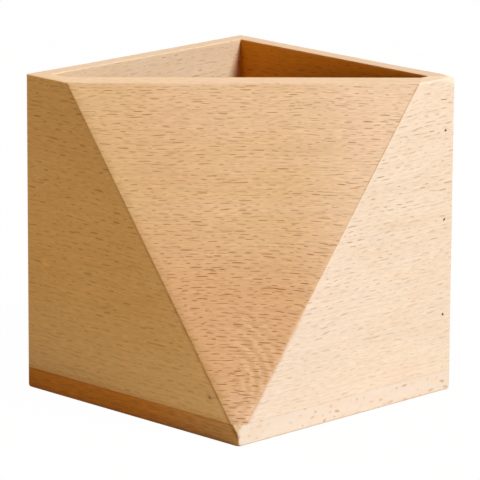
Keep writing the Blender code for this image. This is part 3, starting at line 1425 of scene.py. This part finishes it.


# Board tones differ partly as beech does and partly as painted light: the lit right wall paler and pinker,
# the shaded left wall deeper and more golden.
WALL_FINISHES = {
    "front_facet_panel": BeechFinish(
        tone="#DAB386", pale="#F1D1B6", warm="#CF9D70", edge="#F3CDA4", dash="#966226", glue="#B48852",
        rays=Dashes(4.8, 0.34, apart_along=5.2, apart_across=1.04, darkness=0.84, scarcity=0.75, lean=0.03),
        faint_rays=Dashes(4.2, 0.34, apart_along=4.4, apart_across=1.08, darkness=0.54, lean=0.03, seed=31.0),
        seed=3.0, arcs=RingArcs(-8.0, -15.0), patchiness=0.1, streaks=0.4,
        ray_strength=Ramp(Way.ACROSS, 45.0, 0.0, 0.92, 1.65),
        # The drifts along the panel paint light: paler toward its right end, warmer and darker toward its
        # left, as the light falls off away from the lamp.
        drifts=(
            Drift(Ramp(Way.ACROSS, 45.0, 10.0, 0.0, 0.7), "#CF9D70"),
            Drift(Ramp(Way.ALONG, 0.0, -30.0, 0.0, 0.4), "#CF9D70"),
            Drift(Ramp(Way.ALONG, 10.0, 50.0, 0.0, 0.65), "#F1D1B6"),
            Drift(Ramp(Way.ACROSS, 50.0, 80.0, 0.0, 0.22), "#F1D1B6"),
            Drift(Ramp(Way.ACROSS, -8.0, -30.0, 0.0, 0.3), "#F1D1B6"),
            Drift(Ramp(Way.ALONG, -15.0, -45.0, 0.0, 0.5), "#D1AC76"),
        ),
    ),
    "left_wall": BeechFinish(
        tone="#DEB06D", pale="#ECC88C", warm="#D0A262", edge="#F3CDA4", dash="#A06A1C", glue="#B27034",
        rays=Dashes(4.8, 0.56, apart_along=6.0, apart_across=1.5, darkness=0.6, scarcity=1.2),
        faint_rays=Dashes(4.6, 0.56, apart_along=5.2, apart_across=1.5, darkness=0.35, seed=17.0),
        seed=11.0, patchiness=0.15, streaks=0.4,
        # The drifts paint light: the wall is warmer toward the rim and paler toward its foot and toward the
        # panel, as if lit from the floor. A thin darker band lies just above the base.
        drifts=(
            Drift(Ramp(Way.ACROSS, 50.0, 100.0, 0.0, 0.75), "#D0A262"),
            Drift(Ramp(Way.ACROSS, 40.0, 5.0, 0.0, 0.55), "#ECC88E"),
            Drift(Ramp(Way.ALONG, -10.0, 40.0, 0.0, 0.3), "#ECC690"),
            Drift(Ramp(Way.ACROSS, 8.6, 7.3, 0.0, 0.3), "#D8A05A"),
        ),
    ),
    "right_wall": BeechFinish(
        tone="#E7D1BC", pale="#EFDECB", warm="#E6C6A6", edge="#F8D8B6", dash="#AE8660", glue="#CAA07E",
        rays=Dashes(4.6, 0.38, apart_along=5.6, apart_across=1.4, darkness=0.72, scarcity=1.0),
        faint_rays=Dashes(4.2, 0.42, apart_along=4.8, apart_across=1.4, darkness=0.35, seed=23.0),
        seed=23.0, patchiness=0.3, streaks=0.32,
        ray_strength=Ramp(Way.ACROSS, 0.0, 90.0, 0.65, 1.25),
        drifts=(
            Drift(Ramp(Way.ALONG, 25.0, -15.0, 0.0, 0.5), "#E9D5C4"),
            Drift(Ramp(Way.ACROSS, 60.0, 95.0, 0.0, 0.5), "#EFD8C3"),
            Drift(Ramp(Way.ACROSS, 55.0, 15.0, 0.0, 0.3), "#DECAB6"),
        ),
    ),
    # The back walls' edges are a little darker than the front walls', a painted shade on their rims.
    "back_right_wall": BeechFinish(
        # Its inside is painted shade: the deep orange of the dim light bounced about the hollow.
        tone="#E2B473", pale="#EAC799", warm="#DC9C58", edge="#EBC7A2", dash="#7A4210", inside="#E68E00",
        faint_rays=Dashes(4.2, 0.42, apart_along=4.8, apart_across=1.5, darkness=0.3, seed=5.0),
        seed=37.0, patchiness=0.0, streaks=0.4,
    ),
    "back_left_wall": BeechFinish(
        # The glue colour here is painted light: the warm orange of light bounced into the inner back corner's
        # shadow.
        tone="#E9CBA8", pale="#EFD6BA", warm="#E4BC94", edge="#EBC7A2", dash="#A06A38", glue="#F0A450",
        faint_rays=Dashes(4.2, 0.42, apart_along=4.8, apart_across=1.5, darkness=0.25, seed=9.0),
        seed=41.0, patchiness=0.2,
    ),
}
BASE_FINISH = BeechFinish(
    # Its glue colour also paints the shade along the left face's foot.
    tone="#E2C39C", pale="#E6CAA6", warm="#D9AF86", edge="#CC8124", dash="#8A4A18", glue="#8A5210",
    rays=Dashes(4.6, 0.44, apart_along=5.6, apart_across=1.4, darkness=0.65, scarcity=1.2),
    faint_rays=Dashes(4.2, 0.44, apart_along=4.8, apart_across=1.4, darkness=0.3, seed=13.0),
    seed=53.0, end="#E3D3C6", edge_streaks=0.96, edge_dashes=0.25, patchiness=0.0,
    drifts=(Drift(Ramp(Way.ALONG, -5.0, 55.0, 0.0, 0.5), "#AE9F75", Face.EDGE),),
)


@dataclass
class PenHolder:
    """The whole holder: five upright boards on a base, held by pins."""

    form: HolderForm
    corner_pin_length: float = 12.0 * MM
    facet_pin_length: float = 10.0 * MM
    facet_pin_lean: float = math.radians(30)
    facet_pin_stain: float = 0.9 * MM

    def pins(self) -> list[PinHole]:
        """Lists the pins, three at each full corner and one at the foot of the panel.

        Returns:
            The pins.
        """
        steel = PinSteelFinish().material("greyed_steel_wire")
        corners = (
            ("right_corner_pin", ("right_wall", "back_right_wall")),
            ("back_corner_pin", ("back_right_wall", "back_left_wall")),
            ("left_corner_pin", ("back_left_wall", "left_wall")),
        )
        found = []
        for name, boards in corners:
            way = -self.form.sides[boards[0]].normal
            found += [PinHole(f"{name}_{i}", way, self.corner_pin_length, boards, steel) for i in (1, 2, 3)]
        way = np.array((math.sin(self.facet_pin_lean), math.cos(self.facet_pin_lean), 0.0))
        boards, stain = ("left_wall", "front_facet_panel"), self.facet_pin_stain
        found.append(PinHole("facet_pin", way, self.facet_pin_length, boards, steel, stain_spread=stain))
        return found

    def build(self) -> None:
        """Builds and dresses the upright boards, the base and the pins, in this order."""
        pins = self.pins()
        boards = [
            UprightBoard(name, self.form, finish, [pin for pin in pins if name in pin.boards])
            for name, finish in WALL_FINISHES.items()
        ]
        for part in (*boards, BaseBoard(self.form, BASE_FINISH), *pins):
            part.dress(part.build())


@dataclass(frozen=True)
class FarLamp:
    """A lamp so far off that it lights the whole holder alike. Level 1 shows a colour as it is written."""

    name: str
    comes_from: tuple[float, float, float]
    level: float
    spread: float
    color: str


LAMPS = (
    FarLamp("key_lamp", (0.78, 0.30, 0.85), 1.25, math.radians(20), "#F6FBFF"),
    FarLamp("fill_lamp", (-0.10, -1.00, 0.04), 0.20, math.radians(12), "#FFE8CC"),
)


@dataclass
class Studio:
    """A white floor, soft lamps and the photograph's camera. None of it is part of the holder."""

    form: HolderForm
    camera_distance: float = 1.31695
    camera_down: float = math.radians(13.691)
    camera_turn: float = math.radians(45.0 - 0.013)
    camera_roll: float = math.radians(0.309)
    camera_shift_right: float = 0.103 * MM
    camera_shift_up: float = -2.323 * MM
    camera_near: float = 0.05
    camera_far: float = 20.0
    floor_size: float = 8.0
    paper: str = "#D8C8AE"
    shown_white: float = 0.99
    air: str = "#FFE6C4"
    air_strength: float = 0.14

    def camera(self) -> None:
        """Places the camera where the corners of the holder fall as in the photograph."""
        turn, down = self.camera_turn, self.camera_down
        right = np.array((math.cos(turn), math.sin(turn), 0.0))
        away = np.array((-math.sin(turn), math.cos(turn), 0.0))
        forward = away * math.cos(down) - UP * math.sin(down)
        over = away * math.sin(down) + UP * math.cos(down)
        aim = UP * self.form.height / 2 + right * self.camera_shift_right + over * self.camera_shift_up
        place = aim - forward * self.camera_distance
        axes = Matrix((tuple(right), tuple(over), tuple(-forward))).transposed().to_4x4()
        data = bpy.data.cameras.new("photo_camera")
        data.sensor_width = SENSOR_WIDTH_MM
        data.lens = SENSOR_WIDTH_MM * PHOTO_FOCAL_PX / PHOTO_WIDTH_PX
        data.clip_start, data.clip_end = self.camera_near, self.camera_far
        camera = bpy.data.objects.new("photo_camera", data)
        roll = Matrix.Rotation(self.camera_roll, 4, "Z")
        camera.matrix_world = Matrix.Translation(Vector(place)) @ axes @ roll
        bpy.context.scene.collection.objects.link(camera)
        bpy.context.scene.camera = camera

    def floor(self) -> None:
        """Lays a white floor, which the camera and reflections see almost white, with the holder's shadow."""
        half = self.floor_size / 2
        corners = np.array([(-half, -half, 0), (half, -half, 0), (half, half, 0), (-half, half, 0)])
        floor = new_piece("studio_floor", corners, [[0, 1, 2, 3]])
        paper = bpy.data.materials.new("white_paper")
        n = Nodes(paper)
        share = n.add("Math MULTIPLY", self.seen_directly(n), self.shown_white)
        matt = n.add("BsdfDiffuse", linear(self.paper))
        white = n.add("Emission", linear("#FFFFFF"), 1.0)
        n.add("OutputMaterial", n.add("MixShader", share, matt, white))
        floor.data.materials.append(paper)

    @staticmethod
    def seen_directly(n: Nodes) -> Node:
        """Tells rays from the camera, off gloss or through glass from all others.

        Args:
            n: the tree.

        Returns:
            A node with 1 for them, and with 0 for others.
        """
        path = n.add("LightPath")
        seen = n.add("Math ADD", path.outputs["Is Camera Ray"], path.outputs["Is Glossy Ray"])
        return n.add("Math ADD", seen, path.outputs["Is Transmission Ray"], use_clamp=True)

    def world(self) -> None:
        """Surrounds the holder with white where it is seen, and with a weak warm light."""
        world = bpy.data.worlds.new("studio_air")
        bpy.context.scene.world = world
        n = Nodes(world)
        weak = n.add("Background", linear(self.air), self.air_strength)
        white = n.add("Background", linear("#FFFFFF"), 1.0)
        n.add("OutputWorld", n.add("MixShader", self.seen_directly(n), weak, white))

    def hang(self, lamp: FarLamp) -> None:
        """Hangs a far lamp.

        Args:
            lamp: the lamp.
        """
        data = bpy.data.lights.new(lamp.name, "SUN")
        data.angle = lamp.spread
        data.energy = lamp.level * math.pi
        data.color = linear(lamp.color)[:3]
        hung = bpy.data.objects.new(lamp.name, data)
        hung.rotation_euler = Vector(lamp.comes_from).to_track_quat("Z", "Y").to_euler()
        bpy.context.scene.collection.objects.link(hung)

    def build(self) -> None:
        """Sets up the studio."""
        self.camera()
        self.floor()
        self.world()
        for lamp in LAMPS:
            self.hang(lamp)
        bpy.context.scene.view_settings.view_transform = "Standard"


def main() -> None:
    """Builds the studio and the holder."""
    logging.basicConfig(level=logging.INFO, format="%(name)s %(relativeCreated)d ms %(message)s")
    low, high = CAD_BOX
    form = HolderForm(width=high.x - low.x, depth=high.y - low.y, height=high.z - low.z)
    Studio(form).build()
    PenHolder(form).build()


if __name__ == "__main__":
    main()
